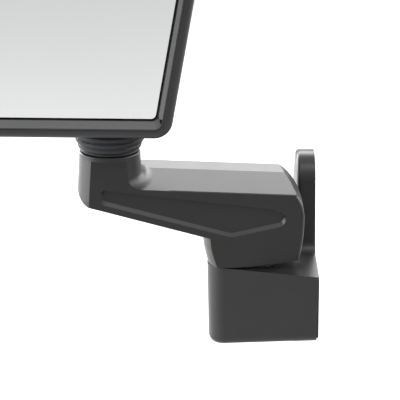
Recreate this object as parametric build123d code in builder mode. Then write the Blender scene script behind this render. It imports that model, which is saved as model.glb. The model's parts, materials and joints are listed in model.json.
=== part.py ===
from build123d import *
from math import cos, radians, sin, sqrt, tan
import os

# Towing mirror for a left-hand door, in millimetres. +Z is up, +X points into the door, and the
# glass faces -Y. The origin is the centre of the three-bolt pattern on the mounting face.

# ---- driving dimensions -------------------------------------------------------------------------
wall = 3.0                      # general casing wall
running_gap = 0.05              # radial clearance of every turning fit
seat_gap = 0.05                 # clearance of a piece that drops into its seat

# mounting face and threaded inserts
bolt_radius = 4.0
bolt_pitch_radius = 36.0
bolt_count = 3
gasket_thickness = 1.5
gasket_proud = 0.3              # the gasket stands this far out of its pocket in the base
gasket_edge = 3.0               # rim of the base around the gasket
flange_thickness = 13.2

# fold pivot
pivot_x = -45.4
pivot_y = -40.0
seam_z = -8.0                   # top of the base at the pivot
tube_radius = 9.0
tube_bore = 6.0
bush_wall = 2.0

# base
base_radius = 32.0              # round outer end
base_flare = 5.0                # how much wider the base is at the door than at its round end
base_height = 60.5
base_rise = 12.0                # the underside climbs this much towards the door

# arm
reach = 99.8                    # fold pivot to neck axis
end_radius = 35.4
end_foot_radius = 31.6
arm_back = 28.5
crease_y = 13.5                 # ridge between the near and far top facets
crease_z = 65.4                 # ridge height above the seam at the neck
top_fall = 2.1                  # degrees that the top falls towards the door
beam_low_neck = 40.3            # underside height at the neck axis
beam_slope = 14.9               # degrees that the underside falls towards the door

# neck
neck_radius = 23.0
rim_radius = 21.4
rim_height = 81.0               # top of the neck above the seam
neck_bore = 9.0

# head
head_floor = 96.5               # lowest edge of the head above the seam
head_height = 296.0
head_front = 31.5               # crest of the rim, in front of the pivot plane
head_depth = 78.0
glass_recess = 11.0
glass_thickness = 3.0
tilt_height = 107.0             # tilt pin above the seam
tilt_pin_radius = 5.0

neck_x = pivot_x - reach
neck_z = seam_z + rim_height
tilt_z = seam_z + tilt_height
os.makedirs("parts", exist_ok=True)


def level(z, x=0.0, y=0.0):
    """Horizontal sketch plane at a height, centred on a point."""
    return Plane(origin=(x, y, z))


def facing(y):
    """Upright sketch plane whose normal points out of the glass side; local axes are X and Z."""
    return Plane(origin=(0, y, 0), x_dir=(1, 0, 0), z_dir=(0, -1, 0))


def rounded_polygon(plane, corners):
    """Closed outline on a plane, with its own radius at each corner."""
    with BuildSketch(plane) as shape:
        Polygon([point for point, radius in corners], align=None)
        for point, radius in corners:
            if radius:
                fillet(shape.vertices().sort_by_distance(Vector(*point))[0], radius)
    return shape.sketch


def save(piece, label):
    piece.part.label = label
    export_step(piece.part, f"parts/{label}.step")


# ---- base ---------------------------------------------------------------------------------------
base_draft = 1.2                # degrees
flange_near = 20.0              # near edge of the upright flange, behind the pivot
flange_lean = 14.0              # the near edge leans back this far over its height
flange_top = 68.0
flange_reach = 84.0
flange_round = 3.0              # outer edge of the flange
foot_fillet = 9.0               # where the deck meets the upright flange
side_fillet = 5.0
bottom_round = 6.0
deck = 12.0                     # solid top of the base
cover_thickness = 4.0
cover_inset = 3.2               # the cover sits this far inside the base's lower edge
screw_sink = 0.4                # cover screw heads sit this far inside the cover
post_radius = 14.0              # column under the pivot tube
tube_flange_radius = 17.0
tube_flange_thickness = 5.0
tube_screw_circle = 13.2
screw_radius = 1.5
screw_head_radius = 2.9
screw_head_height = 2.0
screw_length = 10.0
boss_radius = 4.2
insert_radius = 5.8
insert_length = 10.5
insert_flange_radius = 6.5

base_face_x = -gasket_proud
pocket_x = base_face_x + gasket_proud - gasket_thickness
flange_x = base_face_x - flange_thickness
base_front_y = pivot_y - base_radius - base_flare
base_back_y = pivot_y + base_radius
hollow_z = seam_z - deck
base_low_z = seam_z - base_height
bolt_angles = [radians(90 + 360 / bolt_count * i) for i in range(bolt_count)]
bolt_places = [(bolt_pitch_radius * cos(a), bolt_pitch_radius * sin(a)) for a in bolt_angles]
cover_screw_places = [(pivot_x - 17, pivot_y + 17), (pivot_x + 8, pivot_y - 15.5),
                      (pivot_x + 22, pivot_y + 20)]


def base_plan(inset=0.0):
    """Outline of the base from above: round outer end, front face flaring towards the door."""
    r = base_radius - inset
    shoulder = (pivot_x + r * cos(radians(208)), pivot_y + r * sin(radians(208)))
    with BuildSketch() as plan:
        with BuildLine():
            back = Line((pivot_x, base_back_y - inset), (base_face_x, base_back_y - inset))
            side = Line(back @ 1, (base_face_x, base_front_y + inset))
            front = Line(side @ 1, shoulder)
            ThreePointArc(front @ 1, (pivot_x - r, pivot_y), back @ 0)
        make_face()
        corner = plan.vertices().sort_by_distance(Vector(*shoulder))[0]
        fillet(corner, 16 - inset)
    return plan.sketch


def underside(x):
    """Height of the base's underside, which climbs towards the door."""
    return base_low_z + base_rise * (x - pivot_x + base_radius) / (base_radius - pivot_x)


def cover_floor(x):
    """Height of the cover's lower face."""
    return underside(x) + cover_inset


def base_band(low, high=None):
    """Side view of the base between two heights over its underside, or up to the seam."""
    far, near = pivot_x - 2 * base_radius, 30.0
    tops = (seam_z, seam_z) if high is None else (underside(far) + high, underside(near) + high)
    with BuildSketch(facing(0)) as band:
        Polygon((far, underside(far) + low), (near, underside(near) + low), (near, tops[1]),
                (far, tops[0]), align=None)
    return band.sketch


def flange_outline():
    """Upright mounting flange seen along X; local axes are Y and Z."""
    near, low = pivot_y + flange_near, underside(0)
    corners = [((near - 12, low + 14), 0), ((near - 12, seam_z), 0), ((near, seam_z), foot_fillet),
               ((near + flange_lean, seam_z + flange_top), 20),
               ((near + 46, seam_z + flange_top - 4), 16), ((near + flange_reach, seam_z + 22), 16),
               ((near + flange_reach, seam_z - 28), 12), ((near + flange_reach - 18, low), 12),
               ((near + 8, low), 0)]
    return rounded_polygon(Plane.XY, corners)


base_outer = base_plan()
base_inner = base_plan(wall)
web_limit = base_plan(wall / 2)
cover_outline = base_plan(wall + seat_gap)
base_side = base_band(0)
webs_side = base_band(cover_inset + cover_thickness)
cover_side = base_band(cover_inset, cover_inset + cover_thickness - seat_gap)
flange_face = flange_outline()
with BuildSketch() as whole_face:
    add(flange_face)
    with Locations(((base_front_y + base_back_y) / 2, (seam_z + underside(0)) / 2)):
        Rectangle(base_back_y - base_front_y, seam_z - underside(0))
    offset(amount=-gasket_edge)
gasket_face = whole_face.sketch

with BuildPart() as base_webs:
    with BuildSketch(level(hollow_z + 1)):
        with Locations((pivot_x, pivot_y)):
            Circle(post_radius)
            Rectangle(4 * base_radius, wall)
            Rectangle(wall, 4 * base_radius)
        with Locations(cover_screw_places):
            Circle(boss_radius)
    extrude(amount=-base_height)
    with BuildSketch(level(hollow_z + 1)):
        add(web_limit)
    extrude(amount=-base_height, taper=base_draft, mode=Mode.INTERSECT)
    extrude(webs_side, amount=200, both=True, mode=Mode.INTERSECT)

with BuildPart() as base_housing:
    with BuildSketch(level(seam_z)):
        add(base_outer)
    extrude(amount=-base_height - base_rise, taper=base_draft)
    extrude(base_side, amount=200, both=True, mode=Mode.INTERSECT)
    fillet(base_housing.edges().group_by(Axis.Z)[0], bottom_round)
    with BuildSketch(Plane.YZ.offset(flange_x)):
        add(flange_face)
    extrude(amount=flange_thickness)
    side_foot = Vector(flange_x, pivot_y + flange_near + 8, seam_z)
    fillet(base_housing.edges().sort_by_distance(side_foot)[0], side_fillet)
    outer_face = base_housing.faces().sort_by_distance(Vector(flange_x, pivot_y + 60, seam_z + 20))[0]
    rim_edges = [edge for edge in outer_face.edges() if edge.center().Z > seam_z + side_fillet + 1]
    fillet(rim_edges, flange_round)
    with BuildSketch(level(hollow_z)):
        add(base_inner)
        with Locations((base_face_x, pivot_y)):
            Rectangle(2 * (flange_thickness + wall), 4 * base_radius, mode=Mode.SUBTRACT)
    extrude(amount=-base_height, taper=base_draft, mode=Mode.SUBTRACT)
    add(base_webs.part)
    with Locations(level(seam_z, pivot_x, pivot_y)):
        CounterBoreHole(tube_radius + seat_gap, tube_flange_radius + seat_gap, tube_flange_thickness)
    with Locations(level(seam_z - tube_flange_thickness, pivot_x, pivot_y)):
        with PolarLocations(tube_screw_circle, 3, start_angle=30):
            Hole(screw_radius + seat_gap, depth=screw_length)
    with Locations([level(cover_floor(x) + cover_thickness + screw_length, x, y)
                    for x, y in cover_screw_places]):
        Hole(screw_radius + seat_gap, depth=2 * screw_length)
    with BuildSketch(Plane.YZ.offset(pocket_x)):
        add(gasket_face)
        offset(amount=seat_gap)
    extrude(amount=gasket_thickness, mode=Mode.SUBTRACT)
    with Locations([Plane(origin=(pocket_x, y, z), z_dir=(1, 0, 0)) for y, z in bolt_places]):
        Hole(insert_radius + seat_gap, depth=insert_length + 0.5)
save(base_housing, "base_housing")

with BuildPart() as base_cover:
    with BuildSketch(level(seam_z - deck)):
        add(cover_outline)
        with Locations((base_face_x, pivot_y)):
            Rectangle(2 * (flange_thickness + wall + seat_gap), 4 * base_radius, mode=Mode.SUBTRACT)
    extrude(amount=-base_height, taper=base_draft)
    extrude(cover_side, amount=200, both=True, mode=Mode.INTERSECT)
    with Locations([level(cover_floor(x) + cover_thickness, x, y) for x, y in cover_screw_places]):
        Hole(screw_radius + seat_gap)
    for x, y in cover_screw_places:
        with BuildSketch(level(cover_floor(x) + screw_sink + screw_head_height, x, y)):
            Circle(screw_head_radius + 0.2)
        extrude(amount=-2 * screw_head_height, mode=Mode.SUBTRACT)
save(base_cover, "base_cover")

with BuildPart() as base_cover_screws:
    for x, y in cover_screw_places:
        head_z = cover_floor(x) + screw_sink + screw_head_height - 0.05
        with BuildSketch(level(head_z, x, y)):
            Circle(screw_head_radius)
        extrude(amount=-screw_head_height)
        with BuildSketch(level(head_z, x, y)):
            Circle(screw_radius)
        extrude(amount=screw_length)
save(base_cover_screws, "base_cover_screws")

with BuildPart() as door_gasket:
    with BuildSketch(Plane.YZ.offset(pocket_x)):
        add(gasket_face)
        with Locations(bolt_places):
            Circle(insert_flange_radius + 0.8, mode=Mode.SUBTRACT)
    extrude(amount=gasket_thickness)
save(door_gasket, "door_gasket")

with BuildPart() as door_inserts:
    for y, z in bolt_places:
        for outer, length in ((insert_flange_radius, gasket_thickness),
                              (insert_radius, gasket_thickness + insert_length)):
            with BuildSketch(Plane(origin=(0, y, z), z_dir=(1, 0, 0))):
                Circle(outer)
                Circle(bolt_radius, mode=Mode.SUBTRACT)
            extrude(amount=-length)
save(door_inserts, "door_inserts")

# ---- fold pivot ---------------------------------------------------------------------------------
thrust_washer = 0.8
hub_height = 14.0               # arm floor around the pivot, above the seam
hub_radius = 14.5               # bearing ring under the arm
spring_wire = 1.3               # wire radius
spring_mean = 12.1
spring_base = 15.6
spring_top = 38.0
spring_turns = 4.5
cap_thickness = 2.4
nut_thickness = 5.0
tube_depth = 30.0               # how far the tube reaches down into the base
nut_z = spring_top + cap_thickness
tube_top = nut_z + nut_thickness + 0.8
pivot_disc_radius = spring_mean + spring_wire + 0.1
at_pivot = (pivot_x, pivot_y)


def ring(bottom, top, inner, outer, centre):
    """Adds a ring between two heights above the seam to the open part."""
    with BuildSketch(level(seam_z + bottom, *centre)) as face:
        Circle(outer)
        Circle(inner, mode=Mode.SUBTRACT)
    extrude(face.sketch, amount=top - bottom)


with BuildPart() as pivot_tube:
    with BuildSketch(level(seam_z - tube_depth, *at_pivot)):
        Circle(tube_radius)
    extrude(amount=tube_depth + tube_top)
    with BuildSketch(level(seam_z, *at_pivot)):
        Circle(tube_flange_radius)
    extrude(amount=-tube_flange_thickness)
    chamfer(pivot_tube.edges().group_by(Axis.Z)[-1], 0.6)
    with Locations(level(seam_z + tube_top, *at_pivot)):
        Hole(tube_bore)
    with Locations(level(seam_z, *at_pivot)):
        with PolarLocations(tube_screw_circle, 3, start_angle=30):
            CounterBoreHole(screw_radius + seat_gap, screw_head_radius + seat_gap, screw_head_height)
save(pivot_tube, "pivot_tube")

with BuildPart() as pivot_tube_screws:
    with BuildSketch(level(seam_z - screw_head_height, *at_pivot)):
        with PolarLocations(tube_screw_circle, 3, start_angle=30):
            Circle(screw_head_radius)
    extrude(amount=screw_head_height - 0.1)
    with BuildSketch(level(seam_z - screw_head_height, *at_pivot)):
        with PolarLocations(tube_screw_circle, 3, start_angle=30):
            Circle(screw_radius)
    extrude(amount=-screw_length)
save(pivot_tube_screws, "pivot_tube_screws")

with BuildPart() as fold_thrust_washer:
    ring(0, thrust_washer, tube_radius + running_gap, hub_radius - 0.5, at_pivot)
save(fold_thrust_washer, "fold_thrust_washer")

with BuildPart() as fold_bush:
    ring(thrust_washer + running_gap, hub_height, tube_radius + running_gap, tube_radius + bush_wall,
         at_pivot)
save(fold_bush, "fold_bush")

with BuildPart() as fold_spring_seat:
    ring(hub_height + running_gap, spring_base - 0.02, tube_radius + seat_gap, pivot_disc_radius,
         at_pivot)
save(fold_spring_seat, "fold_spring_seat")

with BuildPart() as fold_spring:
    coil_height = spring_top - spring_base - 2 * spring_wire
    with BuildLine(level(seam_z + spring_base + spring_wire, *at_pivot)) as coil:
        Helix(coil_height / spring_turns, coil_height, spring_mean)
    with BuildSketch(Plane(origin=coil.line @ 0, z_dir=coil.line % 0)):
        Circle(spring_wire)
    sweep(is_frenet=True)
save(fold_spring, "fold_spring")

with BuildPart() as fold_spring_cap:
    ring(spring_top + 0.02, nut_z, tube_radius + seat_gap, pivot_disc_radius, at_pivot)
save(fold_spring_cap, "fold_spring_cap")

with BuildPart() as fold_nut:
    with BuildSketch(level(seam_z + nut_z, *at_pivot)):
        RegularPolygon(pivot_disc_radius - 0.4, 6)
        Circle(tube_radius + seat_gap, mode=Mode.SUBTRACT)
    extrude(amount=nut_thickness)
save(fold_nut, "fold_nut")

# ---- arm ----------------------------------------------------------------------------------------
front_lean = 2.3                # degrees; the front face leans back as it rises
front_foot = 20.6               # how far the front face stands before the pivot plane at the seam
recess_depth = 2.6              # long recess in the front face
cavity_front = 14.6             # inner side of the front wall, before the pivot plane
cavity_end = 15.5               # inner end of the hollow, past the pivot towards the door
cavity_start = 26.0             # wall between the neck chamber and the hollow, from the neck axis
cover_lip = 2.5
arm_cover_thickness = 2.4
relief_start = -9.0             # where the underside starts to rise, from the pivot
relief_rise = 7.5               # degrees
chamber_radius = 14.0           # neck chamber, open below
chamber_height = 60.0
pocket_radius = 17.2
pocket_depth = 5.0
brow_radius = 30.0              # curve of the end over towards the top
brow_centre = 5.4               # its centre, from the pivot
brow_low = 36.0                 # and above the seam
edge_round = 1.2                # along the top of the front
corner_foot = 30.4              # reach of the front's lower corner past the pivot
corner_round = 2.5              # upright corner at the door end of the front
small_round = 0.8
flare_round = 9.0               # where the neck grows out of the top
neck_corner = 13.0              # rounding under the outer side of the neck
near_rise = 0.2294              # slope of the near top facet, up to the ridge
far_rise = 0.105                # slope of the far top facet, up from the ridge

at_neck = (neck_x, pivot_y)
slope = tan(radians(beam_slope))
fall = tan(radians(top_fall))
lean = tan(radians(front_lean))
relief_slope = tan(radians(relief_rise))


def beam_low(x):
    """Height of the beam's underside above the seam; it falls towards the door."""
    return beam_low_neck - slope * (x - neck_x)


def ridge(x):
    """Height of the top ridge above the seam; it falls gently towards the door."""
    return crease_z - fall * (x - neck_x)


def side_view(points):
    """Polygon in X and height above the seam, ready to extrude across the mirror's depth."""
    with BuildSketch(facing(pivot_y)) as view:
        Polygon([(x, seam_z + h) for x, h in points], align=None)
    return view.sketch


left, right = neck_x - 2 * neck_radius, pivot_x + 2 * end_radius
beam_view = side_view([(left, beam_low(left)), (pivot_x + 10, beam_low(pivot_x + 10)), (right, 18),
                       (right, 80), (left, 80)])
column_side = neck_x - neck_radius
column_corners = [((column_side, beam_low(column_side)), neck_corner),
                  ((neck_x + 40, beam_low(neck_x + 40)), 0), ((neck_x + 40, 90), 0),
                  ((column_side, 90), 0)]
column_view = rounded_polygon(facing(pivot_y), [((x, seam_z + h), r) for (x, h), r in column_corners])
relief_view = side_view([(pivot_x + relief_start, thrust_washer + running_gap),
                         (pivot_x + relief_start, -9), (right, -9),
                         (right, thrust_washer + relief_slope * (right - pivot_x - relief_start))])
hollow_floor = 5.5
hollow_points = [(neck_x + cavity_start, beam_low(neck_x + cavity_start) + hollow_floor),
                 (pivot_x - 34, beam_low(pivot_x - 34) + hollow_floor), (pivot_x - 22, hub_height),
                 (pivot_x + cavity_end, hub_height), (pivot_x + cavity_end, ridge(pivot_x) - 9.8),
                 (neck_x + cavity_start, ridge(neck_x + cavity_start) - 9.0)]
with BuildSketch(facing(pivot_y + arm_back)) as hollow_outline:
    Polygon([(x, seam_z + h) for x, h in hollow_points], align=None)
    fillet(hollow_outline.vertices(), 1.5)
hollow_sketch = hollow_outline.sketch
with BuildSketch(facing(pivot_y + arm_back)) as cover_outline_back:
    add(hollow_sketch)
    offset(amount=cover_lip)
cover_sketch = cover_outline_back.sketch
plug_view = side_view([(left, beam_low(left)), (neck_x + 40, beam_low(neck_x + 40)),
                       (neck_x + 40, beam_low(neck_x + 40) + cover_thickness),
                       (left, beam_low(left) + cover_thickness)])
top_plane = Plane(origin=(neck_x, pivot_y, seam_z + crease_z), x_dir=(0, 1, 0),
                  z_dir=(cos(radians(top_fall)), 0, -sin(radians(top_fall))))
front_plane = Plane(origin=(pivot_x, pivot_y - front_foot, seam_z), x_dir=(1, 0, 0),
                    z_dir=(0, -cos(radians(front_lean)), sin(radians(front_lean))))
front_cut_points = [(pivot_y - front_foot - 2 * lean * -10, seam_z - 20),
                    (pivot_y - front_foot + lean * (rim_height - 3.5), seam_z + rim_height - 3.5),
                    (pivot_y - 3 * neck_radius, seam_z + rim_height - 3.5),
                    (pivot_y - 3 * neck_radius, seam_z - 20)]
front_top = pivot_y - front_foot + lean * 57
arm_rounds = [([Vector(neck_x + 60, front_top, seam_z + 55.5)], edge_round),
              ([Vector(neck_x + 28.5, pivot_y - front_foot + lean * 33, seam_z + 32.7)], small_round),
              ([Vector(neck_x - rim_radius, pivot_y, neck_z)], small_round),
              ([Vector(pivot_x, pivot_y - front_foot, seam_z + 1)], small_round)]
arm_screw_places = [(neck_x + cavity_start + 3.4, ridge(neck_x + cavity_start) - 13.5),
                    (neck_x + cavity_start + 3.4, beam_low(neck_x + cavity_start) + hollow_floor + 4.5),
                    (pivot_x - 26, ridge(pivot_x - 26) - 12.5), (pivot_x - 20, hub_height + 3),
                    (pivot_x + cavity_end - 3, ridge(pivot_x) - 13.2),
                    (pivot_x + cavity_end - 3, hub_height + 3)]

recess_outer = [((-reach - 6.2, 57.3), 3), ((14, 43.4), 18), ((24.5, 38.4), 5), ((21, 30.2), 4),
                ((-15, 21.8), 8), ((-reach - 6.2, 46.2), 3)]
recess_inner = [((-reach - 3.7, 56.3), 2), ((13.5, 42.8), 14), ((22.4, 38.2), 2.2), ((19.0, 33.6), 2),
                ((-15.5, 25.8), 7), ((-reach - 3.7, 48.9), 2)]


recess_mouth = rounded_polygon(front_plane, recess_outer)
recess_floor = rounded_polygon(front_plane.offset(-recess_depth), recess_inner)

with BuildPart() as foot_relief:
    extrude(relief_view, amount=2 * end_radius, both=True)
    with BuildSketch(level(seam_z - 10, *at_pivot)):
        Circle(hub_radius)
    extrude(amount=40, mode=Mode.SUBTRACT)

with BuildPart() as neck_column:
    with BuildSketch(facing(pivot_y)):
        with BuildLine():
            Polyline((neck_x, seam_z + 20), (neck_x + neck_radius, seam_z + 20),
                     (neck_x + neck_radius, seam_z + 48),
                     (neck_x + rim_radius, seam_z + rim_height - 3.5),
                     (neck_x + rim_radius, seam_z + rim_height), (neck_x, seam_z + rim_height),
                     close=True)
        make_face()
    revolve(axis=Axis((neck_x, pivot_y, 0), (0, 0, 1)))
    extrude(column_view, amount=60, both=True, mode=Mode.INTERSECT)

with BuildSketch() as beam_plan:
    with BuildLine():
        front = Line((neck_x, pivot_y - 30), (pivot_x + 10, pivot_y - 30))
        end = Line(front @ 1, (pivot_x + 10, pivot_y + arm_back))
        back = Line(end @ 1, (neck_x + neck_radius + 1, pivot_y + arm_back))
        taper_in = Line(back @ 1, (neck_x + 6, pivot_y + sqrt(neck_radius ** 2 - 36)))
        Line(taper_in @ 1, front @ 0)
    make_face()


def flare(rise, near, far):
    """Neck with a rounded foot on one top facet, kept between two depths on the door side."""
    facet = Plane(origin=(neck_x, pivot_y + crease_y, seam_z + crease_z), z_dir=(fall, -rise, 1))
    with BuildPart() as piece:
        with BuildSketch(facet):
            Circle(75)
        extrude(amount=-8)
        add(neck_column.part)
        ovals = piece.edges().filter_by(GeomType.ELLIPSE)
        fillet(ovals.sort_by(Axis.Z)[-1], flare_round)
        with BuildSketch(level(0)):
            add(beam_plan.sketch)
            with Locations((neck_x + 22, pivot_y + (near + far) / 2)):
                Rectangle(40, far - near, mode=Mode.INTERSECT)
        extrude(amount=rim_height + seam_z, mode=Mode.INTERSECT)
    return piece.part


near_flare = flare(near_rise, -30, crease_y)
far_flare = flare(far_rise, crease_y, arm_back)

with BuildPart() as arm_end:
    with BuildSketch(facing(pivot_y)):
        with BuildLine():
            Polyline((pivot_x, neck_z), (pivot_x, seam_z + thrust_washer + running_gap),
                     (pivot_x + end_foot_radius, seam_z + thrust_washer + running_gap),
                     (pivot_x + end_radius - 2.2, seam_z + 7), (pivot_x + end_radius - 0.7, seam_z + 14),
                     (pivot_x + end_radius, seam_z + 22), (pivot_x + end_radius, seam_z + 36),
                     (pivot_x + end_radius - 1.5, seam_z + 64), (pivot_x + end_radius - 3, neck_z),
                     close=True)
        make_face()
    revolve(axis=Axis((pivot_x, pivot_y, 0), (0, 0, 1)))
    with BuildSketch(level(seam_z - 5)):
        with Locations((pivot_x, pivot_y + arm_back + 50)):
            Rectangle(4 * end_radius, 100)
    extrude(amount=neck_z + 20, mode=Mode.SUBTRACT)
    # the end curves over towards the top
    with BuildSketch(facing(pivot_y)):
        with Locations((pivot_x + brow_centre + brow_radius, seam_z + brow_low + brow_radius)):
            Rectangle(2 * brow_radius, 2 * brow_radius)
        with Locations((pivot_x + brow_centre, seam_z + brow_low)):
            Circle(brow_radius, mode=Mode.SUBTRACT)
    extrude(amount=60, both=True, mode=Mode.SUBTRACT)

with BuildPart() as door_corner:
    with BuildSketch(facing(pivot_y)):
        with BuildLine():
            brow = CenterArc((pivot_x + brow_centre, seam_z + brow_low), brow_radius, 0, 75)
            shank = TangentArc(brow @ 0, (pivot_x + corner_foot, seam_z + thrust_washer + running_gap),
                               tangent=(0, -1))
            Polyline(shank @ 1, (pivot_x, seam_z + thrust_washer + running_gap),
                     (pivot_x, (brow @ 1).Y), brow @ 1)
        make_face()
    extrude(amount=30)
    with BuildSketch(Plane.YZ):
        Polygon(*front_cut_points, align=None)
    extrude(amount=-300, mode=Mode.SUBTRACT)
    front_edges = door_corner.faces().sort_by(Axis.Y)[0].edges()
    fillet([edge for edge in front_edges if edge.geom_type != GeomType.LINE], corner_round)

with BuildPart() as arm_casing:
    with BuildSketch(level(seam_z)):
        add(beam_plan.sketch)
    extrude(amount=rim_height)
    extrude(beam_view, amount=60, both=True, mode=Mode.INTERSECT)
    add(arm_end.part)
    add(door_corner.part)
    with BuildSketch(top_plane):
        Polygon((crease_y - 90, -90 * near_rise), (crease_y, 0), (crease_y + 60, 60 * far_rise),
                (80, 60), (-80, 60), align=None)
    extrude(amount=200, both=True, mode=Mode.SUBTRACT)
    add(neck_column.part)
    add(near_flare)
    add(far_flare)
    with BuildSketch(Plane.YZ):
        Polygon(*front_cut_points, align=None)
    extrude(amount=-300, mode=Mode.SUBTRACT)
    for spots, amount in arm_rounds:
        fillet([arm_casing.edges().sort_by_distance(spot)[0] for spot in spots], amount)
    # long recess in the front face, with a sloping lower wall
    loft([recess_mouth, recess_floor], mode=Mode.SUBTRACT)
    add(foot_relief.part, mode=Mode.SUBTRACT)
    # hollow from the back, closed by the rear cover
    extrude(hollow_sketch, amount=arm_back + cavity_front, mode=Mode.SUBTRACT)
    extrude(cover_sketch, amount=arm_cover_thickness + seat_gap, mode=Mode.SUBTRACT)
    for x, h in arm_screw_places:
        with BuildSketch(facing(pivot_y + arm_back - arm_cover_thickness - seat_gap)):
            with Locations((x, seam_z + h)):
                Circle(boss_radius - 0.4)
        extrude(amount=8)
    with Locations([Plane(origin=(x, pivot_y + arm_back - arm_cover_thickness, seam_z + h), z_dir=(0, 1, 0))
                    for x, h in arm_screw_places]):
        Hole(screw_radius + seat_gap, depth=7.5)
    # bores of the fold pivot and the neck
    with Locations(level(seam_z + hub_height, *at_pivot)):
        Hole(tube_radius + bush_wall + seat_gap, depth=hub_height + 2)
    with Locations(level(neck_z, *at_neck)):
        CounterBoreHole(neck_bore + seat_gap, pocket_radius, pocket_depth)
    with BuildSketch(level(seam_z + chamber_height, *at_neck)):
        Circle(chamber_radius)
    extrude(amount=-chamber_height, mode=Mode.SUBTRACT)
save(arm_casing, "arm_casing")

with BuildPart() as arm_rear_cover:
    with BuildSketch(facing(pivot_y + arm_back)):
        add(cover_sketch)
        offset(amount=-seat_gap)
    extrude(amount=arm_cover_thickness)
    with Locations([Plane(origin=(x, pivot_y + arm_back, seam_z + h), z_dir=(0, 1, 0))
                    for x, h in arm_screw_places]):
        CounterBoreHole(screw_radius + seat_gap, screw_head_radius + 0.15, 1.2)
save(arm_rear_cover, "arm_rear_cover")

with BuildPart() as arm_cover_screws:
    for x, h in arm_screw_places:
        seat = Plane(origin=(x, pivot_y + arm_back - 1.2, seam_z + h), z_dir=(0, 1, 0))
        with BuildSketch(seat):
            Circle(screw_head_radius)
        extrude(amount=1.7)
        with BuildSketch(seat):
            Circle(screw_radius)
        extrude(amount=-7)
save(arm_cover_screws, "arm_cover_screws")

with BuildPart() as neck_plug:
    with BuildSketch(level(seam_z + 20, *at_neck)):
        Circle(chamber_radius - seat_gap)
    extrude(amount=60)
    extrude(plug_view, amount=60, both=True, mode=Mode.INTERSECT)
save(neck_plug, "neck_plug")

# ---- neck and swivel ----------------------------------------------------------------------------
post_radius_low = 7.0
knuckle_flange_radius = 16.5
knuckle_collar_radius = 15.0
knuckle_neck_radius = 7.2
eye_radius = 11.0
eye_half_width = 7.5
friction_disc = 1.4
ear_thickness = 5.0
washer_top = rim_height - pocket_depth + 1.0
post_foot = 47.0
neck_nut_height = 5.5
disc_spring_step = 1.25
boot_bottom = rim_height + 0.4
boot_top = head_floor - 0.35
boot_wall = 2.2

with BuildPart() as neck_bush:
    ring(chamber_height, rim_height - pocket_depth, post_radius_low + running_gap, neck_bore, at_neck)
save(neck_bush, "neck_bush")

with BuildPart() as neck_friction_washer:
    ring(rim_height - pocket_depth + 0.02, washer_top, post_radius_low + seat_gap,
         knuckle_flange_radius, at_neck)
save(neck_friction_washer, "neck_friction_washer")

with BuildPart() as swivel_knuckle:
    with BuildSketch(facing(pivot_y)):
        with BuildLine():
            profile = [(0, post_foot), (post_radius_low - 0.8, post_foot),
                       (post_radius_low, post_foot + 0.8), (post_radius_low, washer_top + 0.02),
                       (knuckle_flange_radius, washer_top + 0.02),
                       (knuckle_flange_radius, rim_height - 0.3), (knuckle_collar_radius, rim_height),
                       (knuckle_collar_radius, rim_height + 4), (knuckle_neck_radius + 2, rim_height + 7),
                       (knuckle_neck_radius, rim_height + 11), (knuckle_neck_radius, tilt_height - 6),
                       (0, tilt_height - 6)]
            Polyline([(neck_x + r, seam_z + h) for r, h in profile], close=True)
        make_face()
    revolve(axis=Axis((neck_x, pivot_y, 0), (0, 0, 1)))
    with BuildSketch(Plane(origin=(neck_x, pivot_y, tilt_z), z_dir=(1, 0, 0))):
        Circle(eye_radius)
    extrude(amount=eye_half_width, both=True)
    with Locations(Plane(origin=(neck_x, pivot_y, tilt_z), z_dir=(1, 0, 0))):
        Hole(tilt_pin_radius + running_gap)
save(swivel_knuckle, "swivel_knuckle")

with BuildPart() as neck_disc_springs:
    for i in range(3):
        low = chamber_height - disc_spring_step * (i + 1)
        ring(low, low + disc_spring_step - 0.05, post_radius_low + seat_gap, 11.5 - 1.2 * (i % 2),
             at_neck)
save(neck_disc_springs, "neck_disc_springs")

with BuildPart() as neck_nut:
    nut_high = chamber_height - 3 * disc_spring_step - 0.05
    with BuildSketch(level(seam_z + nut_high, *at_neck)):
        RegularPolygon(11.5, 6)
        Circle(post_radius_low + seat_gap, mode=Mode.SUBTRACT)
    extrude(amount=-neck_nut_height)
save(neck_nut, "neck_nut")

boot_folds = [(21.0, boot_bottom), (22.4, boot_bottom + 2.4), (20.8, boot_bottom + 5.0),
              (23.6, boot_bottom + 7.4), (22.2, boot_bottom + 9.6), (25.0, boot_bottom + 12.2),
              (25.0, boot_top)]

with BuildPart() as bellows_boot:
    with BuildSketch(facing(pivot_y)):
        with BuildLine():
            outside = [(neck_x + r, seam_z + h) for r, h in boot_folds]
            inside = [(x - boot_wall, z) for x, z in outside]
            collar = [(neck_x + knuckle_collar_radius + 0.1, outside[1][1]),
                      (neck_x + knuckle_collar_radius + 0.1, outside[0][1])]
            Polyline(outside + inside[:0:-1] + collar, close=True)
        make_face()
    revolve(axis=Axis((neck_x, pivot_y, 0), (0, 0, 1)))
save(bellows_boot, "bellows_boot")

# ---- head ---------------------------------------------------------------------------------------
head_opening = 20.0             # hole in the head's floor for the knuckle
crest_round = 5.0               # rounding between the shell's side and its front rim
rim_width = 6.3                 # shell rim seen from the front
bezel_gap = 0.3
bezel_lip = 0.9                 # crest of the gloss bezel
bulge_inset = 6.0
back_inset = 26.0
shell_straight = 18.0           # the shell runs straight back to here, behind the pivot plane
glass_gap = 0.6
heater_thickness = 0.6
carrier_thickness = 3.0
bracket_front = 8.0
bracket_thickness = 4.0
bracket_top = 120.0             # above the tilt pin
bracket_left = 70.0
bracket_right = 29.0
head_screw_radius = 2.0
head_screw_head = 3.8
head_boss_radius = 5.0
post_cover = 2.2                # the posts end this far inside the shell's outer skin
tilt_bolt_head = 5.0

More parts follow.
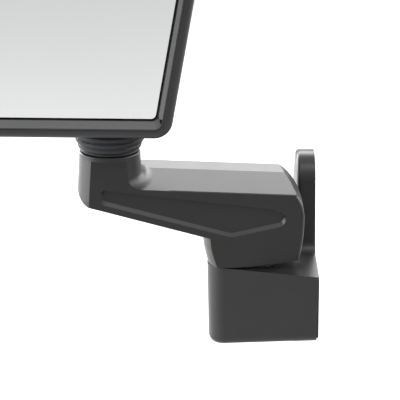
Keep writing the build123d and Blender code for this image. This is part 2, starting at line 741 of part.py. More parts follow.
head_corners = [((neck_x + 42.3, 0), 13), ((neck_x + 67.3, 143), 420), ((neck_x + 77.8, head_height), 40),
                ((neck_x - 158.2, head_height), 42), ((neck_x - 144.2, 2), 26)]
front_y = pivot_y - head_front
back_y = front_y + head_depth
lip_y = front_y + wall
glass_y = front_y + glass_recess
heater_y = glass_y + glass_thickness
carrier_y = heater_y + heater_thickness
straight_y = pivot_y + shell_straight
bulge_y = (straight_y + back_y) / 2
bracket_y = pivot_y + bracket_front


def head_outline(y, inset=0.0):
    """Outline of the head on the upright plane at y, moved inwards evenly."""
    with BuildSketch() as sharp:
        Polygon([(x, seam_z + head_floor + h) for (x, h), radius in head_corners], align=None)
        if inset:
            offset(amount=-inset, kind=Kind.INTERSECTION)
    with BuildSketch(facing(y)) as outline:
        add(sharp.sketch)
        for (x, h), radius in head_corners:
            point = Vector(x, seam_z + head_floor + h)
            fillet(outline.vertices().sort_by_distance(point)[0], max(radius - inset, 4.0))
    return outline.sketch


shell_face = head_outline(front_y)
shell_sections = [head_outline(straight_y), head_outline(bulge_y, bulge_inset),
                  head_outline(back_y, back_inset)]
cavity_face = head_outline(lip_y, wall)
cavity_sections = [head_outline(straight_y, wall), head_outline(bulge_y, bulge_inset + wall),
                   head_outline(back_y - wall, back_inset + wall)]
core_face = head_outline(front_y, post_cover)
core_sections = [head_outline(straight_y, post_cover), head_outline(bulge_y, bulge_inset + post_cover),
                 head_outline(back_y - post_cover, back_inset + post_cover)]
opening_face = head_outline(front_y - 1, rim_width)
bezel_crest = head_outline(front_y + 0.2, rim_width + bezel_gap)
bezel_flange = head_outline(lip_y + 0.05, wall + 0.4)
bezel_body = head_outline(lip_y + 2, rim_width + 1.2)
bezel_mouth = head_outline(front_y + 0.2, rim_width + bezel_gap + bezel_lip)
bezel_throat = head_outline(glass_y, glass_recess)
glass_face = head_outline(glass_y, glass_recess + glass_gap)
heater_face = head_outline(heater_y, glass_recess + 12)
carrier_face = head_outline(carrier_y, glass_recess + 1.4)
carrier_screw_places = [(neck_x + 29.8, 27), (neck_x + 37.8, head_height - 60),
                        (neck_x - 124.2, head_height - 60),
                        (neck_x - 118.2, 44)]
bracket_screw_places = [(neck_x + side, high) for side in (-bracket_left + 9, bracket_right - 9)
                        for high in (38, bracket_top - 9)]


def upright(x, y, height):
    """Plane at a point whose normal points out of the glass side."""
    return Plane(origin=(x, y, seam_z + height), x_dir=(1, 0, 0), z_dir=(0, -1, 0))


def head_spot(x, y, height):
    """The same, with the height counted from the floor of the head."""
    return upright(x, y, head_floor + height)


with BuildPart() as head_cavity:
    extrude(cavity_face, amount=-(straight_y - lip_y))
    loft(cavity_sections)

with BuildPart() as head_core:
    extrude(core_face, amount=-(straight_y - front_y))
    loft(core_sections)

with BuildPart() as head_posts:
    for x, h in carrier_screw_places:
        with BuildSketch(head_spot(x, carrier_y + carrier_thickness, h)):
            Circle(head_boss_radius)
        extrude(amount=-(back_y - carrier_y - carrier_thickness - 1.5))
    for x, h in bracket_screw_places:
        with BuildSketch(upright(x, bracket_y + bracket_thickness, tilt_height + h)):
            Circle(head_boss_radius)
        extrude(amount=-(back_y - bracket_y - bracket_thickness - 1.5))
    add(head_core.part, mode=Mode.INTERSECT)

with BuildPart() as head_housing:
    extrude(shell_face, amount=-(straight_y - front_y))
    loft(shell_sections)
    fillet(head_housing.faces().sort_by(Axis.Y)[0].edges(), crest_round)
    fillet(head_housing.faces().sort_by(Axis.Y)[-1].edges(), 9)
    add(head_cavity.part, mode=Mode.SUBTRACT)
    extrude(opening_face, amount=-wall - 2, mode=Mode.SUBTRACT)
    add(head_posts.part)
    with BuildSketch(level(seam_z + head_floor - 1, *at_neck)):
        Circle(head_opening)
    extrude(amount=wall + 6, mode=Mode.SUBTRACT)
    with Locations([head_spot(x, carrier_y + carrier_thickness, h) for x, h in carrier_screw_places]):
        Hole(screw_radius + seat_gap, depth=screw_length + 2)
    with Locations([upright(x, bracket_y + bracket_thickness, tilt_height + h)
                    for x, h in bracket_screw_places]):
        Hole(head_screw_radius + seat_gap, depth=screw_length + 2)
save(head_housing, "head_housing")

with BuildPart() as bezel:
    extrude(bezel_flange, amount=-2.4)
    extrude(bezel_body, amount=-(glass_y + 3 - lip_y))
    extrude(bezel_crest, amount=-wall - 0.5)
    loft([bezel_mouth, bezel_throat], mode=Mode.SUBTRACT)
    extrude(bezel_throat, amount=-20, both=False, mode=Mode.SUBTRACT)
save(bezel, "bezel")

with BuildPart() as mirror_glass:
    extrude(glass_face, amount=-glass_thickness)
    chamfer(mirror_glass.faces().sort_by(Axis.Y)[0].edges(), 0.5)
save(mirror_glass, "mirror_glass")

with BuildPart() as heater_pad:
    extrude(heater_face, amount=-heater_thickness)
save(heater_pad, "heater_pad")

with BuildPart() as glass_carrier:
    extrude(carrier_face, amount=-carrier_thickness)
    with Locations([head_spot(x, carrier_y, h) for x, h in carrier_screw_places]):
        CounterBoreHole(screw_radius + seat_gap, screw_head_radius + seat_gap, screw_head_height)
save(glass_carrier, "glass_carrier")

with BuildPart() as carrier_screws:
    for x, h in carrier_screw_places:
        with BuildSketch(head_spot(x, carrier_y + 0.1, h)):
            Circle(screw_head_radius)
        extrude(amount=-screw_head_height + 0.1)
        with BuildSketch(head_spot(x, carrier_y + screw_head_height, h)):
            Circle(screw_radius)
        extrude(amount=-screw_length)
save(carrier_screws, "carrier_screws")

# clevis of the head around the knuckle's eye, with the plate that carries the housing
ear_inner = eye_half_width + friction_disc + 0.1
with BuildPart() as head_bracket:
    with BuildSketch(facing(bracket_y)):
        with Locations((neck_x + (bracket_right - bracket_left) / 2, tilt_z + 27 + (bracket_top - 27) / 2)):
            RectangleRounded(bracket_left + bracket_right, bracket_top - 27, 8)
            with Locations((0, 4)):
                RectangleRounded(bracket_left + bracket_right - 40, bracket_top - 70, 6, mode=Mode.SUBTRACT)
    extrude(amount=-bracket_thickness)
    with BuildSketch(Plane(origin=(neck_x, pivot_y, tilt_z), x_dir=(0, 1, 0), z_dir=(1, 0, 0))):
        Circle(eye_radius)
        with Locations((0.5, 18)):
            Rectangle(2 * eye_radius + 1, 36)
    extrude(amount=ear_inner + ear_thickness, both=True)
    with BuildSketch(facing(pivot_y - 20)):
        with Locations((neck_x, tilt_z)):
            Rectangle(2 * ear_inner, 2 * eye_radius + 6)
    extrude(amount=-40, mode=Mode.SUBTRACT)
    with Locations(Plane(origin=(neck_x, pivot_y, tilt_z), z_dir=(1, 0, 0))):
        Hole(tilt_pin_radius + seat_gap)
    with Locations([upright(x, bracket_y, tilt_height + h) for x, h in bracket_screw_places]):
        Hole(head_screw_radius + seat_gap)
save(head_bracket, "head_bracket")

with BuildPart() as bracket_screws:
    for x, h in bracket_screw_places:
        seat = upright(x, bracket_y, tilt_height + h)
        with BuildSketch(seat):
            Circle(head_screw_head)
        extrude(amount=2.4)
        with BuildSketch(seat):
            Circle(head_screw_radius)
        extrude(amount=-bracket_thickness - screw_length)
save(bracket_screws, "bracket_screws")

pin_plane = Plane(origin=(neck_x, pivot_y, tilt_z), z_dir=(1, 0, 0))
ear_outer = ear_inner + ear_thickness
with BuildPart() as tilt_discs:
    with BuildSketch(pin_plane.offset(eye_half_width + 0.04)):
        Circle(eye_radius - 1)
        Circle(tilt_pin_radius + seat_gap, mode=Mode.SUBTRACT)
    extrude(amount=friction_disc)
    mirror(about=pin_plane)
save(tilt_discs, "tilt_discs")

with BuildPart() as tilt_bolt:
    with BuildSketch(pin_plane.offset(-ear_outer)):
        Circle(tilt_pin_radius)
    extrude(amount=2 * ear_outer + 6)
    with BuildSketch(pin_plane.offset(-ear_outer)):
        RegularPolygon(8.5, 6)
    extrude(amount=-tilt_bolt_head)
save(tilt_bolt, "tilt_bolt")

with BuildPart() as tilt_nut:
    with BuildSketch(pin_plane.offset(ear_outer)):
        RegularPolygon(8.5, 6)
        Circle(tilt_pin_radius + seat_gap, mode=Mode.SUBTRACT)
    extrude(amount=tilt_bolt_head)
save(tilt_nut, "tilt_nut")
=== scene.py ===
import json
from math import cos, pi, radians, sin

import bmesh
import bpy
import numpy as np
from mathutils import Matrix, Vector


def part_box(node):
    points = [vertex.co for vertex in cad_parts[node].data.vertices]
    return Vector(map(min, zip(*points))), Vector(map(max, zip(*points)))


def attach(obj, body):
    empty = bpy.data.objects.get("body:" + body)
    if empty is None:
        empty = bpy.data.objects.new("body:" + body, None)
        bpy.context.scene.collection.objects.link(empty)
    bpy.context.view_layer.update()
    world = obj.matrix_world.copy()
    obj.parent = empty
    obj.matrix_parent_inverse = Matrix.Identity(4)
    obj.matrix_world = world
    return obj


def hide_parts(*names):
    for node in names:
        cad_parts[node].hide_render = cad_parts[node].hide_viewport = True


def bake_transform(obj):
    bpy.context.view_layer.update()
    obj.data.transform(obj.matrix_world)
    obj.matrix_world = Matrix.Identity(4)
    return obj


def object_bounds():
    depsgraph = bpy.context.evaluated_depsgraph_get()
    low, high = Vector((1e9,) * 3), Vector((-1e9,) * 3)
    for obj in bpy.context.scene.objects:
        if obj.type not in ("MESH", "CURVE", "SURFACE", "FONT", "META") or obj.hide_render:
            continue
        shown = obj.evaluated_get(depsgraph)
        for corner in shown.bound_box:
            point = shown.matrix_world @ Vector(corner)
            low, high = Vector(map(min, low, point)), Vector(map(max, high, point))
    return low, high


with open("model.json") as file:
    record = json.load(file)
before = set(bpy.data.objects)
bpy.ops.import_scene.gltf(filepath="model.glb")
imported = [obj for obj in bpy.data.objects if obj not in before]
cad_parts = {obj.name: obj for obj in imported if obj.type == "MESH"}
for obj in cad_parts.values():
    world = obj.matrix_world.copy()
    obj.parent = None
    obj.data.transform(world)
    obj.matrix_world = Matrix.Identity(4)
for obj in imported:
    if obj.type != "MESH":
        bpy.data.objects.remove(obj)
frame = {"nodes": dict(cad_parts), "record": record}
cadBounds = [list(corner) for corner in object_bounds()]
nodes = frame["nodes"]
record = frame["record"]
mm = 0.001
print("frame loaded,", len(nodes), "nodes")


# sockets as numbers: a sum, a product or a test on a Wire adds its Math node
class Wire:
    def __init__(self, finish, socket):
        self.finish = finish
        self.socket = socket

    def join(self, operation, first, second):
        made = self.finish.node("ShaderNodeMath", {"operation": operation}, {0: first, 1: second})
        return Wire(self.finish, made.outputs[0])

    def __add__(self, other):
        return self.join("ADD", self, other)

    def __radd__(self, other):
        return self.join("ADD", other, self)

    def __mul__(self, other):
        return self.join("MULTIPLY", self, other)

    def __rmul__(self, other):
        return self.join("MULTIPLY", other, self)

    def __gt__(self, other):
        return self.join("GREATER_THAN", self, other)


class Finish:
    def __init__(self, name):
        self.material = bpy.data.materials.new(name)
        self.material.use_nodes = True
        self.tree = self.material.node_tree
        self.tree.nodes.clear()
        place = self.node("ShaderNodeTexCoord")
        self.place = Wire(self, place.outputs["Object"])

    def node(self, kind, settings=None, values=None):
        made = self.tree.nodes.new(kind)
        for key, value in (settings or {}).items():
            setattr(made, key, value)
        for key, value in (values or {}).items():
            if isinstance(value, Wire):
                self.tree.links.new(value.socket, made.inputs[key])
            else:
                made.inputs[key].default_value = value
        return made

    def noise(self, grain, detail=3.0, rough=0.55):        # grain is the size of one blotch in mm
        made = self.node("ShaderNodeTexNoise", {}, {"Vector": self.place, "Scale": 1000 / grain,
                                                    "Detail": detail, "Roughness": rough})
        return Wire(self, made.outputs["Fac"])

    def cells(self, grain):
        made = self.node("ShaderNodeTexVoronoi", {"feature": "F1"},
                         {"Vector": self.place, "Scale": 1000 / grain})
        return Wire(self, made.outputs["Distance"])

    def streaks(self, grain, stretch):                     # noise drawn out along one axis
        spread = self.node("ShaderNodeMapping", {}, {"Vector": self.place, "Scale": stretch})
        made = self.node("ShaderNodeTexNoise", {}, {"Vector": Wire(self, spread.outputs[0]),
                                                    "Scale": 1000 / grain, "Detail": 2.0})
        return Wire(self, made.outputs["Fac"])

    def between(self, amount, low, high):
        made = self.node("ShaderNodeMix", {"data_type": "RGBA"}, {0: amount, 6: low, 7: high})
        return Wire(self, made.outputs[2])

    def bump(self, height, depth, under=None):             # depth in mm
        values = {"Height": height, "Strength": 1.0, "Distance": depth * mm}
        if under is not None:
            values["Normal"] = under
        return Wire(self, self.node("ShaderNodeBump", {}, values).outputs[0])

    def surface(self, **values):
        named = {key.replace("_", " "): value for key, value in values.items()}
        shader = self.node("ShaderNodeBsdfPrincipled", {}, named)
        self.node("ShaderNodeOutputMaterial", {}, {"Surface": Wire(self, shader.outputs[0])})
        return self.material


def tone(red, green, blue):
    return (red, green, blue, 1.0)


def paler(colour, factor):
    return (colour[0] * factor, colour[1] * factor, colour[2] * factor, 1.0)


def mouldedPlastic(name, colour, rough, grain, depth, level=0.5):     # fine leather-like mould grain
    make = Finish(name)
    pebble = make.cells(grain)
    haze = make.noise(38, 4)
    speck = make.noise(grain * 0.45, 2)
    return make.surface(Base_Color=make.between(haze, colour, paler(colour, 1.35)),
                        Roughness=rough - 0.05 + haze * 0.1,
                        Specular_IOR_Level=level,
                        Normal=make.bump(pebble, depth, make.bump(speck, depth * 0.4)))


def paintedCasting(name, colour, rough):                   # satin paint over a cast surface
    make = Finish(name)
    peel = make.noise(2.6, 2)
    cast = make.noise(17, 3)
    dust = make.noise(0.7, 2)
    return make.surface(Base_Color=make.between(cast, colour, paler(colour, 1.3)),
                        Roughness=rough - 0.06 + cast * 0.08 + dust * 0.04,
                        Specular_IOR_Level=0.36,
                        Normal=make.bump(peel, 0.012, make.bump(dust, 0.006)))


def glossTrim(name):
    make = Finish(name)
    smear = make.noise(26, 3)
    ripple = make.noise(9, 1)
    return make.surface(Base_Color=make.between(smear, tone(0.006, 0.006, 0.007),
                                                tone(0.012, 0.012, 0.013)),
                        Roughness=0.1 + smear * 0.06, Coat_Weight=0.6, Coat_Roughness=0.06,
                        Normal=make.bump(ripple, 0.004))


def rubberSkin(name, colour):
    make = Finish(name)
    bloom = make.noise(8, 4)
    pores = make.noise(0.35, 2)
    return make.surface(Base_Color=make.between(bloom, colour, paler(colour, 1.7)),
                        Roughness=0.52 + bloom * 0.16, Specular_IOR_Level=0.4,
                        Normal=make.bump(pores, 0.012))


def silvering(name):
    make = Finish(name)
    haze = make.noise(60, 2)
    wave = make.noise(90, 1)
    return make.surface(Base_Color=make.between(haze, tone(0.93, 0.935, 0.94), tone(0.955, 0.958, 0.96)),
                        Metallic=1.0, Roughness=0.02 + haze * 0.02,
                        Normal=make.bump(wave, 0.004))


def platedSteel(name, colour, rough, blotch):
    make = Finish(name)
    spangle = make.cells(blotch)
    scratch = make.streaks(0.8, (1.0, 1.0, 0.12))
    return make.surface(Base_Color=make.between(spangle, paler(colour, 0.82), colour), Metallic=1.0,
                        Roughness=rough + spangle * 0.12 + scratch * 0.08,
                        Normal=make.bump(scratch, 0.008))


def castMetal(name, colour):
    make = Finish(name)
    sand = make.noise(0.9, 4)
    cloud = make.noise(12, 3)
    return make.surface(Base_Color=make.between(cloud, paler(colour, 0.8), colour), Metallic=0.9,
                        Roughness=0.46 + cloud * 0.14, Normal=make.bump(sand, 0.05))


def waxyResin(name, colour):
    make = Finish(name)
    cloud = make.noise(6, 3)
    swirl = make.streaks(3, (1.0, 1.0, 0.3))
    return make.surface(Base_Color=make.between(cloud, paler(colour, 0.9), colour),
                        Roughness=0.34 + swirl * 0.1, Subsurface_Weight=0.1,
                        Normal=make.bump(swirl, 0.005))


def printedFilm(name):                                     # copper tracks under amber film
    make = Finish(name)
    wave = make.node("ShaderNodeTexWave", {"bands_direction": "Z"},
                     {"Vector": make.place, "Scale": 26.0, "Distortion": 0.3})
    track = Wire(make, wave.outputs["Fac"]) > 0.55
    return make.surface(Base_Color=make.between(track, tone(0.36, 0.15, 0.04), tone(0.62, 0.3, 0.14)),
                        Roughness=0.3 + make.noise(5) * 0.12, Metallic=track * 0.6)


def pressedFibre(name):
    make = Finish(name)
    fleck = make.noise(0.6, 3)
    return make.surface(Base_Color=make.between(fleck, tone(0.09, 0.065, 0.045), tone(0.25, 0.19, 0.13)),
                        Roughness=0.8 + fleck * 0.1, Normal=make.bump(fleck, 0.04))


finishes = {
    "grained_black_plastic": mouldedPlastic("headShellGrain", tone(0.014, 0.0138, 0.0138),
                                            0.4, 0.55, 0.03, 0.42),
    "satin_black_casting": paintedCasting("armSatinBlack", tone(0.0112, 0.0107, 0.0104), 0.34),
    "gloss_black": glossTrim("bezelGloss"),
    "black_rubber": rubberSkin("bellowsRubber", tone(0.008, 0.0085, 0.01)),
    "mirror": silvering("mirrorSilver"),
    "black_plastic": mouldedPlastic("innerBlackPlastic", tone(0.028, 0.028, 0.028), 0.5, 0.8, 0.02),
    "zinc_steel": platedSteel("zincPlate", tone(0.62, 0.62, 0.59), 0.26, 1.6),
    "black_steel": platedSteel("blackOxide", tone(0.06, 0.06, 0.065), 0.36, 1.2),
    "spring_steel": platedSteel("oiledSpringSteel", tone(0.42, 0.42, 0.43), 0.3, 2.2),
    "acetal": waxyResin("naturalAcetal", tone(0.8, 0.79, 0.75)),
    "heater_foil": printedFilm("heaterFilm"),
    "cast_aluminium": castMetal("sandCastAluminium", tone(0.6, 0.61, 0.62)),
    "friction_pad": pressedFibre("frictionFibre"),
}
for part in record["subparts"]:
    owner = nodes[part["node"]]
    owner.data.materials.clear()
    owner.data.materials.append(finishes[part["material_slot"]])
print("finishes on the nodes")


def addMesh(name, mesh, slotName):
    piece = bpy.data.objects.new(name, mesh)
    bpy.context.scene.collection.objects.link(piece)
    if not mesh.materials:
        mesh.materials.append(finishes[slotName])
    return piece


def islandsOf(name):                                       # each loose solid of a node, as its corners
    work = bmesh.new()
    work.from_mesh(nodes[name].data)
    bmesh.ops.remove_doubles(work, verts=work.verts, dist=1e-6)
    left = set(work.verts)
    found = []
    while left:
        queue = [left.pop()]
        points = []
        while queue:
            spot = queue.pop()
            points.append(spot.co.copy())
            for edge in spot.link_edges:
                other = edge.other_vert(spot)
                if other in left:
                    left.remove(other)
                    queue.append(other)
        low = Vector([min(p[axis] for p in points) for axis in range(3)])
        high = Vector([max(p[axis] for p in points) for axis in range(3)])
        found.append((low, high))
    work.free()
    return sorted(found, key=lambda pair: tuple(round(v, 5) for v in pair[0]))


def turned(name, profile, centre, sides, slotName):        # closed profile of (radius, z) turned about +Z
    work = bmesh.new()
    loops = []
    for radius, high in profile:
        loops.append([work.verts.new((centre[0] + radius * cos(2 * pi * i / sides),
                                      centre[1] + radius * sin(2 * pi * i / sides), high))
                      for i in range(sides)])
    for row in range(len(loops)):
        one, two = loops[row], loops[(row + 1) % len(loops)]
        for i in range(sides):
            work.faces.new((one[i], one[(i + 1) % sides], two[(i + 1) % sides], two[i]))
    bmesh.ops.recalc_face_normals(work, faces=work.faces)
    for face in work.faces:
        face.smooth = True
    mesh = bpy.data.meshes.new(name)
    work.to_mesh(mesh)
    work.free()
    return addMesh(name, mesh, slotName)


# bellows between the neck and the head
bellows = {
    "folds": 3,
    "wall": 1.5 * mm,
    "foldDepth": 0.62 * mm,
    "sides": 96,
    "steps": 12,                                           # profile points to a fold
    "footRadius": 20.4 * mm,
    "crownRadius": 24.2 * mm,
    "footLip": 1.6 * mm,
    "neckHole": 15.2 * mm,                                 # radius of the opening round the post
    "foldSag": 0.35 * mm,
}


def makeBellows():
    low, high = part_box("bellows_boot")
    centre = ((low[0] + high[0]) / 2, (low[1] + high[1]) / 2)
    base, top = low[2], high[2]
    count = bellows["folds"] * bellows["steps"]
    rise = (top - base - bellows["footLip"]) / count
    flare = bellows["crownRadius"] - bellows["footRadius"]
    outer = [(bellows["footRadius"] - 0.5 * mm, base), (bellows["footRadius"], base + 0.3 * mm),
             (bellows["footRadius"], base + 1.1 * mm), (bellows["footRadius"] - 0.6 * mm, base + 1.4 * mm)]
    for i in range(count + 1):
        along = i / count
        body = bellows["footRadius"] + flare * (1 - (1 - along) ** 2)
        wave = sin(2 * pi * along * bellows["folds"] - pi / 2)
        crest = abs(wave) ** 0.72 * (1 if wave > 0 else -1)  # round crests, tighter valleys
        sag = bellows["foldSag"] * sin(2 * pi * along * bellows["folds"])
        outer.append((body + bellows["foldDepth"] * crest, base + bellows["footLip"] + rise * i - sag))
    inner = [(radius - bellows["wall"], high) for radius, high in outer[4:]]
    inner = [(bellows["neckHole"], outer[0][1]), (bellows["neckHole"], outer[3][1])] + inner
    piece = turned("bellows", outer + inner[::-1], centre, bellows["sides"], "black_rubber")
    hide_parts("bellows_boot")
    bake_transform(piece)


makeBellows()
print("bellows made")


class Growth:                                              # one Geometry Nodes tree with named inputs
    def __init__(self, name, inputs):
        self.tree = bpy.data.node_groups.new(name, "GeometryNodeTree")
        self.tree.interface.new_socket("Points", in_out="INPUT", socket_type="NodeSocketGeometry")
        for key in inputs:
            self.tree.interface.new_socket(key, in_out="INPUT", socket_type="NodeSocketFloat")
        self.tree.interface.new_socket("Geometry", in_out="OUTPUT", socket_type="NodeSocketGeometry")
        self.source = self.tree.nodes.new("NodeGroupInput")
        self.sink = self.tree.nodes.new("NodeGroupOutput")

    def node(self, kind, settings=None, values=None):
        made = self.tree.nodes.new(kind)
        for key, value in (settings or {}).items():
            setattr(made, key, value)
        for key, value in (values or {}).items():
            if isinstance(value, bpy.types.NodeSocket):
                self.tree.links.new(value, made.inputs[key])
            else:
                made.inputs[key].default_value = value
        return made

    def sum(self, operation, one, two):
        return self.node("ShaderNodeMath", {"operation": operation}, {0: one, 1: two}).outputs[0]

    def joined(self, *parts):
        join = self.node("GeometryNodeJoinGeometry")
        for part in parts:
            self.tree.links.new(part, join.inputs[0])
        return join.outputs[0]

    def lifted(self, shape, height):
        lift = self.node("ShaderNodeCombineXYZ", {}, {"Z": height})
        return self.node("GeometryNodeTransform", {}, {"Geometry": shape,
                                                       "Translation": lift.outputs[0]}).outputs[0]

    def scatter(self, shape, material):                    # a copy at each point, along its own normal
        way = self.node("GeometryNodeInputNamedAttribute", {"data_type": "FLOAT_VECTOR"},
                        {"Name": "facing"})
        turn = self.node("FunctionNodeAlignRotationToVector", {"axis": "Z"}, {"Vector": way.outputs[0]})
        spread = self.node("GeometryNodeInstanceOnPoints", {},
                           {"Points": self.source.outputs[0], "Instance": shape,
                            "Rotation": turn.outputs[0]})
        real = self.node("GeometryNodeRealizeInstances", {}, {"Geometry": spread.outputs[0]})
        shade = self.node("GeometryNodeSetShadeSmooth", {}, {"Geometry": real.outputs[0],
                                                             "Shade Smooth": False})
        dress = self.node("GeometryNodeSetMaterial", {}, {"Geometry": shade.outputs[0],
                                                          "Material": material})
        self.tree.links.new(dress.outputs[0], self.sink.inputs[0])


def grow(name, growth, points, facing, sizes, slotName):   # runs a tree on loose points, keeps the mesh
    seed = bpy.data.meshes.new(name + "Points")
    seed.from_pydata([tuple(point) for point in points], [], [])
    ways = seed.attributes.new("facing", "FLOAT_VECTOR", "POINT")
    ways.data.foreach_set("vector", np.array([tuple(facing)] * len(points), dtype=np.float32).ravel())
    carrier = bpy.data.objects.new(name + "Carrier", seed)
    bpy.context.scene.collection.objects.link(carrier)
    modifier = carrier.modifiers.new("grow", "NODES")
    modifier.node_group = growth.tree
    for item in growth.tree.interface.items_tree:
        if item.name in sizes:
            modifier[item.identifier] = sizes[item.name]
    ready = carrier.evaluated_get(bpy.context.evaluated_depsgraph_get())
    mesh = bpy.data.meshes.new_from_object(ready)
    mesh.name = name
    carrier.modifiers.remove(modifier)
    bpy.data.objects.remove(carrier)
    return addMesh(name, mesh, slotName)


# cover screws: pan head with a six-lobed socket
screw = {
    "Head Radius": 2.9 * mm,
    "Head Height": 1.7 * mm,
    "Socket Radius": 1.5 * mm,
    "Socket Depth": 1.0 * mm,
    "Shank Radius": 1.5 * mm,
    "Shank Length": 7.0 * mm,
}
longScrew = dict(screw, **{"Head Height": 2.0 * mm, "Shank Length": 10.0 * mm})


def screwTree():
    growth = Growth("coverScrew", list(screw))
    size = growth.source.outputs
    dome = growth.node("GeometryNodeMeshCone", {"fill_type": "NGON"},
                       {"Vertices": 40, "Radius Bottom": size["Head Radius"],
                        "Radius Top": growth.sum("MULTIPLY", size["Head Radius"], 0.8),
                        "Depth": growth.sum("MULTIPLY", size["Head Height"], 0.35)})
    low = growth.sum("MULTIPLY", size["Head Height"], 0.65)
    stem = growth.node("GeometryNodeMeshCylinder", {"fill_type": "NGON"},
                       {"Vertices": 40, "Radius": size["Head Radius"], "Depth": low})
    head = growth.node("GeometryNodeMeshBoolean", {"operation": "UNION"})
    growth.tree.links.new(growth.lifted(stem.outputs[0], growth.sum("MULTIPLY", low, 0.5)), head.inputs[1])
    growth.tree.links.new(growth.lifted(dome.outputs[0], low), head.inputs[1])
    star = growth.node("GeometryNodeCurveStar", {},
                       {"Points": 6, "Inner Radius": size["Socket Radius"],
                        "Outer Radius": growth.sum("MULTIPLY", size["Socket Radius"], 0.78)})
    lobes = growth.node("GeometryNodeFillCurve", {}, {"Curve": star.outputs[0]})
    push = growth.node("GeometryNodeExtrudeMesh", {"mode": "FACES"},
                       {"Mesh": lobes.outputs[0],
                        "Offset Scale": growth.sum("MULTIPLY", size["Socket Depth"], 2.0),
                        "Individual": False})
    floor = growth.node("GeometryNodeFlipFaces", {}, {"Mesh": lobes.outputs[0]})
    key = growth.joined(push.outputs[0], floor.outputs[0])
    weld = growth.node("GeometryNodeMergeByDistance", {}, {"Geometry": key, "Distance": 1e-6})
    sunk = growth.lifted(weld.outputs[0], growth.sum("SUBTRACT", size["Head Height"], size["Socket Depth"]))
    cut = growth.node("GeometryNodeMeshBoolean", {"operation": "DIFFERENCE"}, {"Mesh 1": head.outputs[0]})
    growth.tree.links.new(sunk, cut.inputs[1])
    shank = growth.node("GeometryNodeMeshCylinder", {"fill_type": "NGON"},
                        {"Vertices": 24, "Radius": size["Shank Radius"], "Depth": size["Shank Length"]})
    down = growth.lifted(shank.outputs[0], growth.sum("MULTIPLY", size["Shank Length"], -0.5))
    growth.scatter(growth.joined(cut.outputs[0], down), finishes["zinc_steel"])
    return growth


def placeScrews():
    growth = screwTree()
    rear = islandsOf("arm_cover_screws")
    seats = [((low[0] + high[0]) / 2, high[1] - screw["Head Height"], (low[2] + high[2]) / 2)
             for low, high in rear]
    piece = grow("rearCoverScrews", growth, seats, (0, 1, 0), screw, "zinc_steel")
    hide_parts("arm_cover_screws")
    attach(piece, "arm")
    under = islandsOf("base_cover_screws")
    seats = [((low[0] + high[0]) / 2, (low[1] + high[1]) / 2, low[2] + longScrew["Head Height"])
             for low, high in under]
    piece = grow("undersideScrews", growth, seats, (0, 0, -1), longScrew, "zinc_steel")
    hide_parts("base_cover_screws")
    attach(piece, "base")


placeScrews()
print("cover screws made")


# threaded inserts in the mounting face
insert = {
    "Outer Radius": 5.8 * mm,
    "Flange Radius": 6.5 * mm,
    "Flange Height": 1.5 * mm,
    "Bore Radius": 4.0 * mm,
    "Thread Depth": 0.45 * mm,
    "Pitch": 1.25 * mm,
    "Length": 12.0 * mm,
}


def insertTree():
    growth = Growth("doorInsert", list(insert))
    size = growth.source.outputs

    def sleeve(outer, inner, length, start):               # a ring between two heights
        middle = growth.sum("MULTIPLY", growth.sum("ADD", outer, inner), 0.5)
        line = growth.node("GeometryNodeCurvePrimitiveCircle", {"mode": "RADIUS"},
                           {"Resolution": 48, "Radius": middle})
        box = growth.node("GeometryNodeCurvePrimitiveQuadrilateral", {"mode": "RECTANGLE"},
                          {"Width": growth.sum("SUBTRACT", outer, inner), "Height": length})
        made = growth.node("GeometryNodeCurveToMesh", {}, {"Curve": line.outputs[0],
                                                           "Profile Curve": box.outputs[0]})
        half = growth.sum("MULTIPLY", length, -0.5)
        return growth.lifted(made.outputs[0], growth.sum("SUBTRACT", half, start))

    turns = growth.sum("DIVIDE", growth.sum("SUBTRACT", size["Length"], size["Pitch"]), size["Pitch"])
    crest = growth.sum("ADD", size["Bore Radius"], size["Thread Depth"])
    coil = growth.node("GeometryNodeCurveSpiral", {},
                       {"Resolution": 36, "Rotations": turns, "Start Radius": crest, "End Radius": crest,
                        "Height": growth.sum("SUBTRACT", size["Length"], size["Pitch"])})
    ridge = growth.node("GeometryNodeCurvePrimitiveCircle", {"mode": "RADIUS"},
                        {"Resolution": 4, "Radius": growth.sum("MULTIPLY", size["Thread Depth"], 1.1)})
    thread = growth.node("GeometryNodeCurveToMesh", {}, {"Curve": coil.outputs[0],
                                                         "Profile Curve": ridge.outputs[0],
                                                         "Fill Caps": True})
    depth = growth.sum("SUBTRACT", growth.sum("MULTIPLY", size["Pitch"], 0.5), size["Length"])
    growth.scatter(growth.joined(
        sleeve(size["Outer Radius"], crest, size["Length"], 0.0),
        sleeve(size["Flange Radius"], crest, size["Flange Height"], 0.0),
        growth.lifted(thread.outputs[0], depth)), finishes["zinc_steel"])
    return growth


def placeInserts():
    seats = [(high[0], (low[1] + high[1]) / 2, (low[2] + high[2]) / 2)
             for low, high in islandsOf("door_inserts")]
    piece = grow("threadedInserts", insertTree(), seats, (1, 0, 0), insert, "zinc_steel")
    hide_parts("door_inserts")
    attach(piece, "base")


placeInserts()
print("inserts made")


# floor, light and camera
stage = {
    "floorDrop": 0.22,
    "floorSize": 14.0,
    "floorGlow": 0.1,
    "worldLow": 0.45,                                      # strength at the horizon
    "worldHigh": 1.3,                                      # strength overhead
    "cameraPlace": (-0.0825, -1.4745, 0.4752),
    "cameraDown": 17,                                      # degrees below level
    "cameraLens": 192.9,
    "aim": (-0.1, 0.0, 0.02),
}


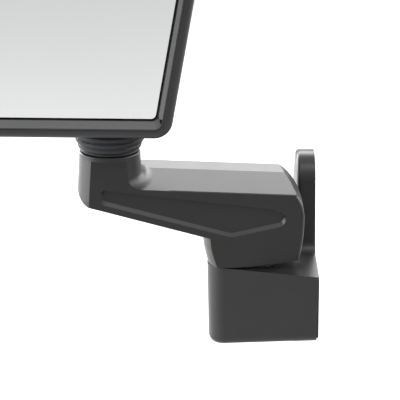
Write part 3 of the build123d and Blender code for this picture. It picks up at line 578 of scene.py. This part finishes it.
def makeFloor():
    lowest = cadBounds[0][2] - stage["floorDrop"]
    half = stage["floorSize"] / 2
    mesh = bpy.data.meshes.new("floor")
    mesh.from_pydata([(-half, -half, lowest), (half, -half, lowest), (half, half, lowest),
                      (-half, half, lowest)], [], [(0, 1, 2, 3)])
    make = Finish("paleFloor")
    cloud = make.noise(900, 1)
    make.surface(Base_Color=make.between(cloud, tone(0.40, 0.40, 0.40), tone(0.43, 0.43, 0.43)),
                 Roughness=0.9, Specular_IOR_Level=0.1,
                 Emission_Color=tone(1, 1, 1), Emission_Strength=stage["floorGlow"])
    mesh.materials.append(make.material)
    floor = bpy.data.objects.new("floor", mesh)
    bpy.context.scene.collection.objects.link(floor)


def makeWorld():
    world = bpy.data.worlds.new("studio")
    bpy.context.scene.world = world
    world.use_nodes = True
    tree = world.node_tree
    tree.nodes.clear()
    way = tree.nodes.new("ShaderNodeTexCoord")
    split = tree.nodes.new("ShaderNodeSeparateXYZ")
    spread = tree.nodes.new("ShaderNodeMapRange")
    glow = tree.nodes.new("ShaderNodeBackground")
    last = tree.nodes.new("ShaderNodeOutputWorld")
    tree.links.new(way.outputs["Generated"], split.inputs[0])
    tree.links.new(split.outputs["Z"], spread.inputs["Value"])   # paler overhead than at the horizon
    spread.inputs["From Min"].default_value = 0.0
    spread.inputs["From Max"].default_value = 0.9
    spread.inputs["To Min"].default_value = stage["worldLow"]
    spread.inputs["To Max"].default_value = stage["worldHigh"]
    tree.links.new(spread.outputs["Result"], glow.inputs["Strength"])
    glow.inputs["Color"].default_value = tone(1, 1, 1)
    tree.links.new(glow.outputs[0], last.inputs[0])


def addLight(name, place, width, height, brightness):      # width and height in metres
    lamp = bpy.data.lights.new(name, "AREA")
    lamp.shape = "RECTANGLE"
    lamp.size = width
    lamp.size_y = height
    lamp.energy = brightness * pi * width * height
    holder = bpy.data.objects.new(name, lamp)
    holder.location = place
    away = Vector(stage["aim"]) - Vector(place)
    holder.rotation_euler = away.to_track_quat("-Z", "Y").to_euler()
    holder.visible_camera = False
    bpy.context.scene.collection.objects.link(holder)


def addCamera():
    lens = bpy.data.cameras.new("camera")
    lens.lens = stage["cameraLens"]
    lens.sensor_width = 36.0
    lens.clip_end = 60.0
    camera = bpy.data.objects.new("camera", lens)
    camera.location = stage["cameraPlace"]
    camera.rotation_euler = (radians(90 - stage["cameraDown"]), 0, 0)
    bpy.context.scene.collection.objects.link(camera)
    bpy.context.scene.camera = camera


makeFloor()
makeWorld()
addLight("behindAbove", (-0.1, 1.9, 1.2), 2.6, 1.2, 5.6)
addLight("overFront", (-0.1, -0.75, 1.7), 2.2, 0.7, 2.6)
addLight("left", (-1.7, -0.1, 0.35), 1.4, 1.4, 7.5)
addLight("leftBehind", (-1.35, 1.15, 0.45), 1.3, 1.3, 10.0)
addLight("rightBehind", (1.4, 1.0, 0.8), 1.2, 1.4, 5.0)
addLight("right", (1.6, -0.2, 0.7), 1.0, 1.2, 3.5)
addCamera()
bpy.context.scene.view_settings.view_transform = "Standard"
print("stage set")
